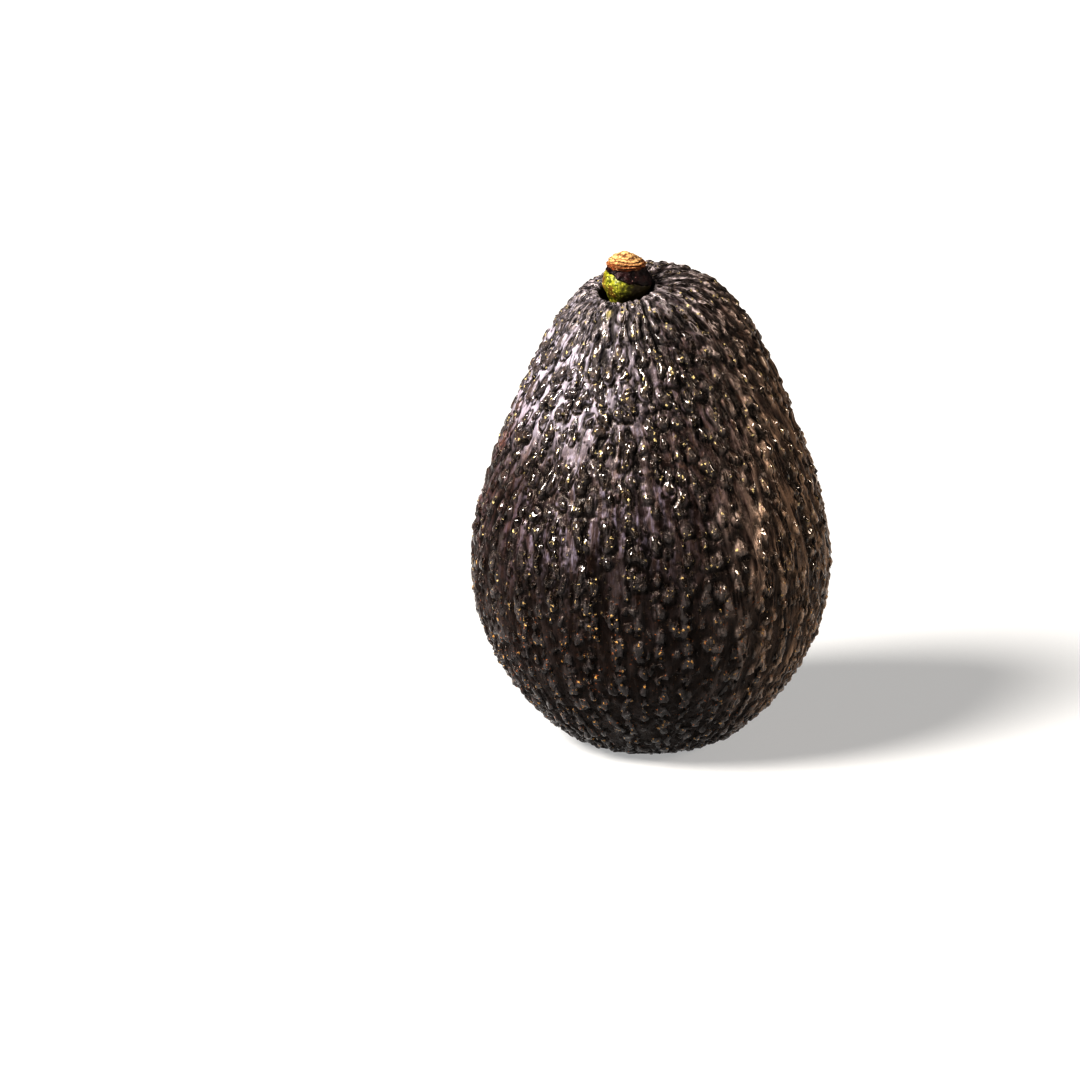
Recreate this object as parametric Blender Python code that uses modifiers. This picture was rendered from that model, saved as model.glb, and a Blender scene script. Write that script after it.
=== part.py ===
"""A whole ripe avocado with dark, pebbled skin, standing on its blunt end.

Metres, +Z up. The origin is the middle of the flat spot that the fruit rests on. The stem end leans
towards the front left (-X, -Y), where the stub of the fruit stalk stands in its socket.
"""

import math
import random

import bmesh
import bpy
from mathutils import Matrix, Vector

MM = 0.001

# The smooth form under the pebbled skin: an ellipsoid whose radius is scaled along its length.
GIRTH_RADIUS = 34.8 * MM
FORM_LENGTH = 100.2 * MM
OUTLINE_TERMS = (1.0, -0.301, -0.134, 0.244, 0.173)
REST_DEPTH = 2.2 * MM
STEM_LEAN = math.radians(19.0)
STEM_BEARING = math.radians(238.0)

# Warts: laid out in a spiral from the stem, crowded at both ends, and nudged so that no row is even.
WART_COUNT = 740
WART_SEED = 11
WART_NUDGE = 0.30
WART_MISSING = 0.07
WART_HEIGHT = (0.70 * MM, 1.30 * MM)
WART_SLOPE = (0.42, 0.56)
WART_STEEPEST = 1.0
STEM_WART_HEIGHT = 0.75
FOOT_WART_HEIGHT = 0.70
STEM_CROWDING = 0.50
FOOT_CROWDING = 0.12
CROWDING_POWER = 3
GOLDEN_ANGLE = math.pi * (3.0 - math.sqrt(5.0))

# Warts fade out just above the flat spot, and round the socket.
FOOT_MARGIN = 1.2 * MM
FADE_ABOVE_FOOT = 3.0 * MM
SHORTEST_RIM_EDGE = 0.3 * MM
FADE_ROUND_SOCKET = 3.0 * MM

# Round the stub, a collar of the form is turned partly square to it and sinks a little. The round
# socket is in its middle.
COLLAR_RADIUS = 14.0 * MM
COLLAR_FADE = 12.0 * MM
COLLAR_SHARE = 0.77
DIMPLE_DEPTH = 0.7 * MM
SOCKET_RADIUS = 5.0 * MM
SOCKET_FLOOR_RADIUS = 4.0 * MM
SOCKET_DEPTH = 4.0 * MM
SOCKET_SIDES = 28

# The stub of the stalk, as (radius, height above the socket's floor) points from the top down: a stepped,
# domed end that slopes to the right, a waist, and a swollen foot. A slanted seam parts the dry end from
# the green foot.
STUB_TILT = math.radians(11.0)
STUB_SIDES = 28
STUB_PROFILE = (
    (0.00 * MM, 11.80 * MM),
    (0.60 * MM, 11.65 * MM),
    (0.90 * MM, 11.30 * MM),
    (1.60 * MM, 11.10 * MM),
    (1.80 * MM, 10.75 * MM),
    (2.50 * MM, 10.45 * MM),
    (2.70 * MM, 10.10 * MM),
    (3.30 * MM, 9.85 * MM),
    (3.65 * MM, 9.50 * MM),
    (3.80 * MM, 9.20 * MM),
    (3.60 * MM, 8.80 * MM),
    (3.75 * MM, 8.30 * MM),
    (4.15 * MM, 7.80 * MM),
    (4.65 * MM, 7.00 * MM),
    (5.00 * MM, 6.20 * MM),
    (5.05 * MM, 5.60 * MM),
    (4.95 * MM, 4.90 * MM),
    (4.75 * MM, 4.10 * MM),
    (4.35 * MM, 2.80 * MM),
    (3.90 * MM, 1.60 * MM),
    (3.40 * MM, 0.35 * MM),
    (0.00 * MM, 0.35 * MM),
)
END_SLOPE = 0.12
END_SLOPE_START = 9.3 * MM
END_SLOPE_FADE = 1.5 * MM
FIT_GAP = 0.35 * MM
SEAM_HEIGHT = 6.9 * MM
SEAM_SLOPE = 0.30
SHARP_EDGE = math.radians(50.0)
WELD = 0.01 * MM
SLIVER = 0.08 * MM

SKIN_FINISH = ((0.050, 0.038, 0.036), 0.38)
BASE_FINISH = ((0.36, 0.40, 0.045), 0.5)
CAP_FINISH = ((0.27, 0.135, 0.06), 0.85)


def clear_scene():
    for thing in list(bpy.data.objects):
        bpy.data.objects.remove(thing)


def new_collection(name):
    collection = bpy.data.collections.new(name)
    bpy.context.scene.collection.children.link(collection)
    return collection


def finish(obj, name, colour_and_roughness):
    """Gives a solid its plain material: a Principled BSDF with a colour and a roughness."""
    colour, roughness = colour_and_roughness
    material = bpy.data.materials.new(name)
    material.use_nodes = True
    shader = material.node_tree.nodes["Principled BSDF"]
    shader.inputs["Base Color"].default_value = (*colour, 1.0)
    shader.inputs["Roughness"].default_value = roughness
    shader.inputs["Metallic"].default_value = 0.0
    obj.data.materials.append(material)


def mesh_object(bm, name, collection):
    mesh = bpy.data.meshes.new(name)
    bm.to_mesh(mesh)
    bm.free()
    mesh.shade_smooth()
    mesh.set_sharp_from_angle(angle=SHARP_EDGE)
    obj = bpy.data.objects.new(name, mesh)
    collection.objects.link(obj)
    return obj


def smooth_step(value):
    value = min(max(value, 0.0), 1.0)
    return value * value * (3.0 - 2.0 * value)


def form_point(polar, bearing):
    """The point of the smooth form at an angle from the stem (0) to the blossom end (pi) and a bearing.

    Even steps of the polar angle are short at both ends and long between, which crowds the warts there.
    """
    towards_stem = ((1.0 + math.cos(polar)) / 2.0) ** CROWDING_POWER
    towards_foot = ((1.0 - math.cos(polar)) / 2.0) ** CROWDING_POWER
    polar -= math.sin(polar) * (STEM_CROWDING * towards_stem - FOOT_CROWDING * towards_foot)
    ring = math.sin(polar)
    direction = Vector((ring * math.cos(bearing), ring * math.sin(bearing), math.cos(polar)))
    axis = Vector((-math.sin(STEM_BEARING), math.cos(STEM_BEARING), 0.0))
    lean = STEM_LEAN * (1.0 + direction.z) / 2.0
    turned = Matrix.Rotation(lean, 3, axis) @ direction
    share = sum(term * turned.z**power for power, term in enumerate(OUTLINE_TERMS))
    radius = GIRTH_RADIUS * share
    height = FORM_LENGTH * (1.0 + turned.z) / 2.0 - REST_DEPTH
    return Vector((radius * turned.x, radius * turned.y, height))


def wart_directions():
    """A direction for each wart, whose +Z is the stem end: an even spiral, with each turn nudged."""
    dice = random.Random(WART_SEED)
    spacing = math.sqrt(4.0 * math.pi / WART_COUNT)
    for number in range(WART_COUNT):
        z = 1.0 - (2.0 * number + 1.0) / WART_COUNT
        ring = math.sqrt(1.0 - z * z)
        bearing = number * GOLDEN_ANGLE
        nudge = Vector([dice.uniform(-1.0, 1.0) for _ in range(3)]) * WART_NUDGE * spacing
        yield (Vector((ring * math.cos(bearing), ring * math.sin(bearing), z)) + nudge).normalized()


def stem_pole():
    """(place, axis) of the stub of the stalk: where it leaves the form, and the way it points."""
    return form_point(0.0, 0.0), Vector((0.0, -math.sin(STUB_TILT), math.cos(STUB_TILT)))


def off_axis(point):
    """How far a point is from the stub's axis. The blossom end, below that axis, counts as far away."""
    place, axis = stem_pole()
    offset = point - place
    height = offset.dot(axis)
    if height < -FORM_LENGTH / 2.0:
        return FORM_LENGTH
    return (offset - axis * height).length


def set_square(point):
    """Moves a point of the collar along the stub's axis, towards a plane that is square to the stub."""
    place, axis = stem_pole()
    share = COLLAR_SHARE * smooth_step((COLLAR_RADIUS - off_axis(point)) / COLLAR_FADE)
    return point - axis * share * (DIMPLE_DEPTH + (point - place).dot(axis))


def wart_cells():
    """A ball of many-sided cells, one round each wart, with corners in the hollows between the warts.

    The hull of the warts' directions joins neighbours by triangles. A corner in the middle of each triangle
    is a hollow. The edges between warts are turned to run between hollows, and the warts' own corners
    are then dissolved.
    """
    bm = bmesh.new()
    tips = [bm.verts.new(direction) for direction in wart_directions()]
    bmesh.ops.convex_hull(bm, input=tips)
    between_tips = bm.edges[:]
    bmesh.ops.poke(bm, faces=bm.faces[:])
    bmesh.ops.rotate_edges(bm, edges=between_tips)
    bmesh.ops.dissolve_verts(bm, verts=tips)
    return bm


def cut_foot(bm):
    """Cuts the blossom end off flat at the ground and closes it with one face."""
    bmesh.ops.bisect_plane(
        bm,
        geom=bm.verts[:] + bm.edges[:] + bm.faces[:],
        dist=WELD,
        plane_co=(0.0, 0.0, 0.0),
        plane_no=(0.0, 0.0, -1.0),
        clear_outer=True,
    )
    rim = [vert for vert in bm.verts if vert.is_boundary]
    bmesh.ops.remove_doubles(bm, verts=rim, dist=SHORTEST_RIM_EDGE)
    bmesh.ops.holes_fill(bm, edges=[edge for edge in bm.edges if edge.is_boundary])


def wart_height(place, dice):
    """Warts are lower at both ends, a few are hardly there, and none is left at the foot or the socket."""
    low, high = WART_HEIGHT
    height = low + (high - low) * dice.random()
    if dice.random() < WART_MISSING:
        height *= 0.25
    share = place.z / FORM_LENGTH
    height *= 1.0 - (1.0 - STEM_WART_HEIGHT) * smooth_step((share - 0.6) / 0.3)
    height *= 1.0 - (1.0 - FOOT_WART_HEIGHT) * smooth_step((0.3 - share) / 0.25)
    height *= smooth_step((place.z - FOOT_MARGIN) / FADE_ABOVE_FOOT)
    height *= smooth_step((off_axis(place) - SOCKET_RADIUS) / FADE_ROUND_SOCKET)
    return height


def pebbled_fruit(collection):
    """The fruit: the ball of cells moved out to the form, with the middle of each cell raised to a wart."""
    bm = wart_cells()
    for vert in bm.verts:
        vert.co = set_square(form_point(math.acos(vert.co.normalized().z), math.atan2(vert.co.y, vert.co.x)))
    cut_foot(bm)
    bmesh.ops.recalc_face_normals(bm, faces=bm.faces[:])
    dice = random.Random(WART_SEED + 1)
    for cell in bm.faces[:]:
        place = cell.calc_center_median()
        if place.z < FOOT_MARGIN:
            continue
        half_width = 2.0 * cell.calc_area() / cell.calc_perimeter()
        slope = dice.uniform(*WART_SLOPE) * half_width
        height = min(wart_height(place, dice), WART_STEEPEST * slope)
        bmesh.ops.inset_individual(bm, faces=[cell], thickness=slope, depth=height)
    fruit = mesh_object(bm, "fruit", collection)
    finish(fruit, "pebbled_skin", SKIN_FINISH)
    return fruit


def turned(name, profile, sides, collection):
    """A closed turned shape about +Z, from (radius, height) points that run from the top down."""
    steps = zip(range(len(profile)), range(1, len(profile)))
    mesh = bpy.data.meshes.new(name)
    mesh.from_pydata([(radius, 0.0, height) for radius, height in profile], list(steps), [])
    obj = bpy.data.objects.new(name, mesh)
    collection.objects.link(obj)
    screw = obj.modifiers.new("turn", "SCREW")
    screw.axis = "Z"
    screw.steps = sides
    screw.render_steps = sides
    screw.use_merge_vertices = True
    screw.merge_threshold = WELD
    bpy.context.view_layer.update()
    graph = bpy.context.evaluated_depsgraph_get()
    obj.data = bpy.data.meshes.new_from_object(obj.evaluated_get(graph))
    obj.modifiers.clear()
    return obj


def grow_uneven(bm):
    """The stub isn't quite round: slow waves run round it and shift with height, and its end slopes."""
    for vert in bm.verts:
        bearing = math.atan2(vert.co.y, vert.co.x)
        share = 1.0 + 0.025 * math.sin(3.0 * bearing + 300.0 * vert.co.z)
        share += 0.015 * math.sin(7.0 * bearing - 900.0 * vert.co.z)
        vert.co.x *= share
        vert.co.y *= share
        vert.co.z -= END_SLOPE * vert.co.x * smooth_step((vert.co.z - END_SLOPE_START) / END_SLOPE_FADE)


def keep_one_side_of_seam(bm, above):
    """Cuts the stub along the slanted seam, which is lower on the right, and closes the cut."""
    half_gap = FIT_GAP / 2.0 if above else -FIT_GAP / 2.0
    bmesh.ops.bisect_plane(
        bm,
        geom=bm.verts[:] + bm.edges[:] + bm.faces[:],
        dist=WELD,
        plane_co=(0.0, 0.0, SEAM_HEIGHT + half_gap),
        plane_no=(SEAM_SLOPE, 0.0, 1.0),
        clear_inner=above,
        clear_outer=not above,
    )
    bmesh.ops.holes_fill(bm, edges=[edge for edge in bm.edges if edge.is_boundary])


def socket_matrix():
    """Places the stub's own frame: origin on the socket's floor, +Z along the stub."""
    place, axis = stem_pole()
    floor = place - axis * (DIMPLE_DEPTH + SOCKET_DEPTH)
    return Matrix.Translation(floor) @ axis.to_track_quat("Z", "Y").to_matrix().to_4x4()


def cut_socket(fruit, cutters):
    """Cuts the round socket that the stub stands in."""
    above = DIMPLE_DEPTH + SOCKET_DEPTH + 4.0 * MM
    profile = (
        (0.0, above),
        (SOCKET_RADIUS + 0.8 * MM, above),
        (SOCKET_RADIUS + 0.7 * MM, SOCKET_DEPTH + 1.2 * MM),
        (SOCKET_RADIUS + 0.25 * MM, SOCKET_DEPTH),
        (SOCKET_RADIUS, 2.6 * MM),
        (SOCKET_RADIUS - 0.3 * MM, 1.0 * MM),
        (SOCKET_FLOOR_RADIUS, 0.0),
        (0.0, 0.0),
    )
    cutter = turned("socket_cutter", profile, SOCKET_SIDES, cutters)
    cutter.matrix_world = socket_matrix()
    cutter.hide_render = True
    cutter.display_type = "WIRE"
    cut = fruit.modifiers.new("socket", "BOOLEAN")
    cut.operation = "DIFFERENCE"
    cut.solver = "EXACT"
    cut.object = cutter
    weld = fruit.modifiers.new("slivers", "WELD")
    weld.merge_threshold = SLIVER


def stalk_piece(name, above, collection):
    """The part of the stalk's stub above or below the seam, standing in the socket."""
    piece = turned(name, STUB_PROFILE, STUB_SIDES, collection)
    bm = bmesh.new()
    bm.from_mesh(piece.data)
    grow_uneven(bm)
    keep_one_side_of_seam(bm, above)
    bm.to_mesh(piece.data)
    bm.free()
    piece.data.shade_smooth()
    piece.data.set_sharp_from_angle(angle=SHARP_EDGE)
    piece.matrix_world = socket_matrix()
    return piece


def stem_base(collection):
    """The green, swollen foot of the stalk."""
    finish(stalk_piece("stem_base", False, collection), "green_stalk", BASE_FINISH)


def stem_cap(collection):
    """The dry, corky end of the stalk, ringed, with its domed top."""
    finish(stalk_piece("stem_cap", True, collection), "dry_cork", CAP_FINISH)


def main():
    clear_scene()
    avocado = new_collection("avocado")
    cutters = new_collection("cutters")
    cutters.hide_render = True
    fruit = pebbled_fruit(avocado)
    cut_socket(fruit, cutters)
    stem_base(avocado)
    stem_cap(avocado)


main()
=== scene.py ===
import math
from types import SimpleNamespace

import bpy
import numpy as np
from mathutils import Matrix, Vector, kdtree, noise


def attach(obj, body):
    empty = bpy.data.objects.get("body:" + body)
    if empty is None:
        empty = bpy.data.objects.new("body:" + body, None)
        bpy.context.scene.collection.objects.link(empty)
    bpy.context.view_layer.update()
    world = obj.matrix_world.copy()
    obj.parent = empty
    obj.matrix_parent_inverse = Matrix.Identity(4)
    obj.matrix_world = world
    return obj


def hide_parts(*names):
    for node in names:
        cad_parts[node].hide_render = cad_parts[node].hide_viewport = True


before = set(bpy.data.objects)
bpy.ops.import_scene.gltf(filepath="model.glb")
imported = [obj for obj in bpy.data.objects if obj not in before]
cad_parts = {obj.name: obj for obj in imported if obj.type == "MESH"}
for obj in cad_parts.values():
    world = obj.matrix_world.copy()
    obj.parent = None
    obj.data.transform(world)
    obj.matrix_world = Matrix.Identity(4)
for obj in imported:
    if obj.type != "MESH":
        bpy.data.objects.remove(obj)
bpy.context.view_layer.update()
mm = 0.001
print("frame loaded:", len(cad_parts), "nodes")

# The smooth form under the skin, the collar round the stub and the socket, as in the solids.
form = {
    "girthRadius": 34.8 * mm,
    "length": 100.2 * mm,
    "outline": (1.0, -0.301, -0.134, 0.244, 0.173),
    "restDepth": 2.2 * mm,
    "stemLean": math.radians(19.0),
    "stemBearing": math.radians(238.0),
    "stemCrowding": 0.50,
    "footCrowding": 0.12,
    "crowdingPower": 3,
    "collarRadius": 14.0 * mm,
    "collarFade": 12.0 * mm,
    "collarShare": 0.77,
    "dimpleDepth": 0.7 * mm,
    "socketDepth": 4.0 * mm,
    "stubTilt": math.radians(11.0),
    "goldenAngle": math.pi * (3.0 - math.sqrt(5.0)),
    "probe": 0.002,  # the step in angle that directions on the surface are measured over
}


def smoothStep(value):
    value = np.clip(value, 0.0, 1.0)
    return value * value * (3.0 - 2.0 * value)


def formPoints(polar, bearing):
    # polar runs from the stem (0) to the blossom end (pi), and is crowded towards both ends
    towardsStem = ((1.0 + np.cos(polar)) / 2.0) ** form["crowdingPower"]
    towardsFoot = ((1.0 - np.cos(polar)) / 2.0) ** form["crowdingPower"]
    crowding = form["stemCrowding"] * towardsStem - form["footCrowding"] * towardsFoot
    polar = polar - np.sin(polar) * crowding
    ring = np.sin(polar)
    straight = np.stack([ring * np.cos(bearing), ring * np.sin(bearing), np.cos(polar)], axis=1)
    stemBearing = form["stemBearing"]
    axis = np.array([-math.sin(stemBearing), math.cos(stemBearing), 0.0])
    lean = (form["stemLean"] * (1.0 + straight[:, 2]) / 2.0)[:, None]
    along = (straight @ axis)[:, None] * axis
    leaning = straight * np.cos(lean) + np.cross(axis, straight) * np.sin(lean)
    leaning += along * (1.0 - np.cos(lean))
    share = sum(term * leaning[:, 2] ** power for power, term in enumerate(form["outline"]))
    radius = form["girthRadius"] * share
    height = form["length"] * (1.0 + leaning[:, 2]) / 2.0 - form["restDepth"]
    return np.stack([radius * leaning[:, 0], radius * leaning[:, 1], height], axis=1)


stubPlace = formPoints(np.zeros(1), np.zeros(1))[0]
stubAxis = np.array([0.0, -math.sin(form["stubTilt"]), math.cos(form["stubTilt"])])


def offAxis(points):
    # how far points are from the stub's axis, where that is at the stem end
    offset = points - stubPlace
    height = offset @ stubAxis
    away = np.linalg.norm(offset - np.outer(height, stubAxis), axis=1)
    return np.where(height < -form["length"] / 2.0, form["length"], away)


def setSquare(points):
    # the collar round the stub is moved towards a plane that is square to the stub
    share = form["collarShare"] * smoothStep((form["collarRadius"] - offAxis(points)) / form["collarFade"])
    height = (points - stubPlace) @ stubAxis
    return points - np.outer(share * (form["dimpleDepth"] + height), stubAxis)


def unit(vectors):
    return vectors / np.maximum(np.linalg.norm(vectors, axis=1), 1e-12)[:, None]


def surfaceFrame(polar, bearing):
    # (towards the stem, round the fruit, outwards) unit vectors of the smooth form
    stemSide, footSide, before, after = (
        setSquare(formPoints(polar + down * form["probe"], bearing + turn * form["probe"]))
        for down, turn in ((-1.0, 0.0), (1.0, 0.0), (0.0, -1.0), (0.0, 1.0))
    )
    stemward = unit(stemSide - footSide)
    around = unit(after - before)
    return stemward, around, unit(np.cross(around, stemward))


def noiseAt(points):
    return np.array([noise.noise(point) for point in points.tolist()])


def streamPoints(polar, bearing, fineness, along):
    # places in a noise that is drawn out along the lines from the stem to the blossom end
    rings = fineness * (0.55 + 0.45 * smoothStep(polar / 1.5) + 0.2 * smoothStep((polar - 1.9) / 0.8))
    return np.stack([rings * np.cos(bearing), rings * np.sin(bearing), along * polar], axis=1)


def readPoints(mesh):
    points = np.empty(len(mesh.vertices) * 3)
    mesh.vertices.foreach_get("co", points)
    return points.reshape(-1, 3)


def writePoints(mesh, points):
    mesh.vertices.foreach_set("co", points.reshape(-1))
    mesh.update()


def keepValue(mesh, name, values):
    layer = mesh.attributes.new(name, "FLOAT", "POINT")
    layer.data.foreach_set("value", values.astype(np.float32))


def spreadOut(mesh, values, rounds):
    # values averaged over the neighbours, several times
    ends = np.empty(len(mesh.edges) * 2, np.int64)
    mesh.edges.foreach_get("vertices", ends)
    one, other = ends.reshape(-1, 2).T
    count = np.bincount(ends, minlength=len(values)) + 1.0
    for _ in range(rounds):
        fromOther = np.bincount(one, values[other], len(values))
        fromOne = np.bincount(other, values[one], len(values))
        values = (values + fromOther + fromOne) / count
    return values


# The fruit's skin. Sizes are in millimetres, and polar angles are in radians from the stem.
skin = {
    "ballSteps": 4,
    "ballCuts": 11,
    "seed": 5,
    # the three families of warts
    "big": {"count": 2050, "nudge": 0.40, "halfWidth": (0.78, 1.42), "height": (0.45, 0.95), "nearest": 6},
    "middle": {"count": 4600, "nudge": 0.45, "halfWidth": (0.44, 0.86), "height": (0.25, 0.60), "nearest": 5},
    "small": {"count": 9500, "nudge": 0.45, "halfWidth": (0.38, 0.70), "height": (0.14, 0.34), "nearest": 5},
    # how far a wart may slide round the fruit, as a share of the spacing, and what that costs
    "slides": (-0.4, -0.2, 0.0, 0.2, 0.4),
    "slideCost": 0.35,
    # the shape of a wart, as shares of its half width
    "tail": (1.4, 2.5),
    "stemTail": 1.2,
    "front": (0.9, 1.25),
    "domeSlope": 1.35,
    "moatPlace": 1.10,
    "moatReach": 0.28,
    "moatBehind": 0.35,
    # the noises that push the warts out of round: (size, strength, a shift for each direction)
    "warps": ((1.9, 0.72, (0.0, 31.0, 67.0)), (5.0, 0.80, (11.0, 43.0, 83.0))),
    # the noise that is drawn out from the stem to the blossom end
    "streamFineness": 11.0,
    "streamLength": 2.8,
    "streamHeight": 0.30,
    "fineStream": 2.1,
    "finestStream": 4.3,
    # the zones: smaller warts near the stem, wrinkles round the stub, folds behind it, and the lower part
    "smallerFrom": 1.25,
    "smallerOver": 0.9,
    "wrinkleHeight": 0.44,
    "wrinkleReach": 17.0,
    "wrinkleFade": 12.0,
    "foldReach": 30.0,
    "foldFade": 16.0,
    "foldWrinkles": 0.85,
    "lowerFrom": 1.42,
    "lowerOver": 0.55,
    # the one pale wart, on the wart of the big family that is nearest to this place
    "paleWart": {"near": (-9.8, -19.0, 90.5), "halfWidth": 0.75, "halfLength": 1.3, "height": 0.85},
    # how the warts are cut into lobes and vary in height, the broad swellings, and how deep the moats are
    "lobeSize": 0.9,
    "strengthSize": 7.0,
    "broadSize": 9.0,
    "broadHeight": 0.25,
    "moatDepth": 0.55,
    # past the soft limit heights are scaled down, and they fade out over the lowest few millimetres
    "softLimit": 0.62,
    "pastLimit": 0.65,
    "footFade": 3.0,
    "lowest": -0.75,
    "highest": 0.95,
    # the ridge masks compare the relief with its average over a few and over many neighbours
    "nearRounds": 3,
    "wideRounds": 20,
    "ridgeGain": 1.3,
    "fineRidgeGain": 4.0,
    # (radius, share of the depth) from the middle of the socket's floor out over its soft rim
    "socket": (
        (0.0, 1.0),
        (4.0, 1.0),
        (4.6, 0.82),
        (4.9, 0.60),
        (5.1, 0.36),
        (5.2, 0.17),
        (5.4, 0.05),
        (5.8, 0.0),
    ),
}


def wartPlaces(family, dice):
    # an even spiral from the stem, nudged, with each wart slid round the fruit onto the nearest ridge
    spacing = math.sqrt(4.0 * math.pi / family["count"])
    number = np.arange(family["count"])
    z = 1.0 - (2.0 * number + 1.0) / family["count"]
    ring = np.sqrt(1.0 - z * z)
    bearing = number * form["goldenAngle"]
    places = np.stack([ring * np.cos(bearing), ring * np.sin(bearing), z], axis=1)
    places = unit(places + dice.uniform(-1.0, 1.0, places.shape) * family["nudge"] * spacing)
    polar = np.arccos(np.clip(places[:, 2], -1.0, 1.0))
    bearing = np.arctan2(places[:, 1], places[:, 0])
    best = np.full(len(polar), -np.inf)
    chosen = bearing.copy()
    for slide in skin["slides"]:
        moved = bearing + slide * spacing / np.maximum(np.sin(polar), 0.15)
        value = noiseAt(streamPoints(polar, moved, skin["streamFineness"], skin["streamLength"]))
        value -= skin["slideCost"] * abs(slide)
        better = value > best
        best[better] = value[better]
        chosen[better] = moved[better]
    ring = np.sin(polar)
    return np.stack([ring * np.cos(chosen), ring * np.sin(chosen), np.cos(polar)], axis=1), polar, chosen


def wartRelief(family, directions, points, warp, dice):
    # each wart is a dome with a tail towards the stem and a moat below:
    # (height, share of its full height, moat) at every point
    places, polar, bearing = wartPlaces(family, dice)
    stemward, around, _ = surfaceFrame(polar, bearing)
    centres = formPoints(polar, bearing)
    tree = kdtree.KDTree(len(places))
    for number, place in enumerate(places.tolist()):
        tree.insert(place, number)
    tree.balance()
    nearest = family["nearest"]
    found = np.array([[hit[1] for hit in tree.find_n(where, nearest)] for where in directions.tolist()])
    nearStem = smoothStep((skin["smallerFrom"] - polar) / skin["smallerOver"])
    narrow, broad = family["halfWidth"]
    halfWidth = (narrow + (broad - narrow) * dice.random(len(polar)) ** 1.4) * (1.0 - 0.25 * nearStem)
    tail = halfWidth * (dice.uniform(*skin["tail"], len(polar)) + skin["stemTail"] * nearStem)
    front = halfWidth * dice.uniform(*skin["front"], len(polar))
    low, high = family["height"]
    height = low + (high - low) * dice.random(len(polar)) ** 1.2
    height *= 1.0 - 0.35 * nearStem
    relief = np.zeros(len(points))
    share = np.zeros(len(points))
    moat = np.zeros(len(points))
    for column in range(nearest):
        which = found[:, column]
        offset = (points - centres[which]) / mm + warp
        along = np.einsum("ij,ij->i", offset, stemward[which])
        across = np.einsum("ij,ij->i", offset, around[which])
        reach = np.where(along > 0.0, tail[which], front[which])
        away = np.sqrt((along / reach) ** 2 + (across / halfWidth[which]) ** 2)
        dome = smoothStep(skin["domeSlope"] * (1.0 - away))
        raised = height[which] * dome * (1.0 - 0.35 * np.clip(along / reach, 0.0, 1.0))
        relief = np.sqrt(relief**2 + raised**2)
        share = np.maximum(share, dome)
        ring = smoothStep(1.0 - np.abs(away - skin["moatPlace"]) / skin["moatReach"])
        ring *= np.where(along < 0.0, 1.0, skin["moatBehind"])
        moat = np.maximum(moat, ring * height[which])
    return relief, share, moat * (1.0 - share)


def paleWart(flat):
    # the share of the one cream-coloured wart in front of the stub
    wart = skin["paleWart"]
    _, polar, bearing = wartPlaces(skin["big"], np.random.default_rng(skin["seed"]))
    middles = formPoints(polar, bearing)
    chosen = np.linalg.norm(middles / mm - np.array(wart["near"]), axis=1).argmin()
    stemward, around, _ = surfaceFrame(polar[[chosen]], bearing[[chosen]])
    offset = (flat - middles[chosen]) / mm
    away = np.hypot(offset @ stemward[0] / wart["halfLength"], offset @ around[0] / wart["halfWidth"])
    print("pale wart at", middles[chosen] / mm)
    return smoothStep(skin["domeSlope"] * (1.0 - away))


def ballPiece():
    bpy.ops.object.select_all(action="DESELECT")
    bpy.ops.mesh.primitive_ico_sphere_add(subdivisions=skin["ballSteps"], radius=1.0)
    bpy.ops.object.mode_set(mode="EDIT")
    bpy.ops.mesh.select_all(action="SELECT")
    bpy.ops.mesh.subdivide(number_cuts=skin["ballCuts"])
    bpy.ops.object.mode_set(mode="OBJECT")
    piece = bpy.context.object
    piece.name = "fruitSkin"
    return piece


def socketForm(polar, bearing, away):
    # the smooth form with the socket, where the points near the stem are shared out along its profile:
    # (places, outward directions, radius in the socket in mm, share of the socket's depth)
    profile = np.array(skin["socket"])
    steps = np.linalg.norm(np.diff(profile * (1.0, form["socketDepth"] / mm), axis=0), axis=1)
    walked = np.concatenate([[0.0], np.cumsum(steps)])
    rim = profile[-1, 0]
    inside = away < rim
    walk = np.where(inside, away / rim, 1.0) * walked[-1]
    radius = np.interp(walk, walked, profile[:, 0])
    drop = np.interp(walk, walked, profile[:, 1]) * inside
    pinch = np.where(inside, radius / np.maximum(away, 1e-6), 1.0)
    base = setSquare(formPoints(polar * pinch, bearing))
    toFloor = (base - stubPlace) @ stubAxis + form["dimpleDepth"] + form["socketDepth"]
    base -= np.outer(toFloor * drop, stubAxis)
    _, _, outwards = surfaceFrame(np.clip(polar * pinch, 0.01, math.pi - 0.01), bearing)
    return base, outwards, np.where(inside, radius, np.inf), drop


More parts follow.
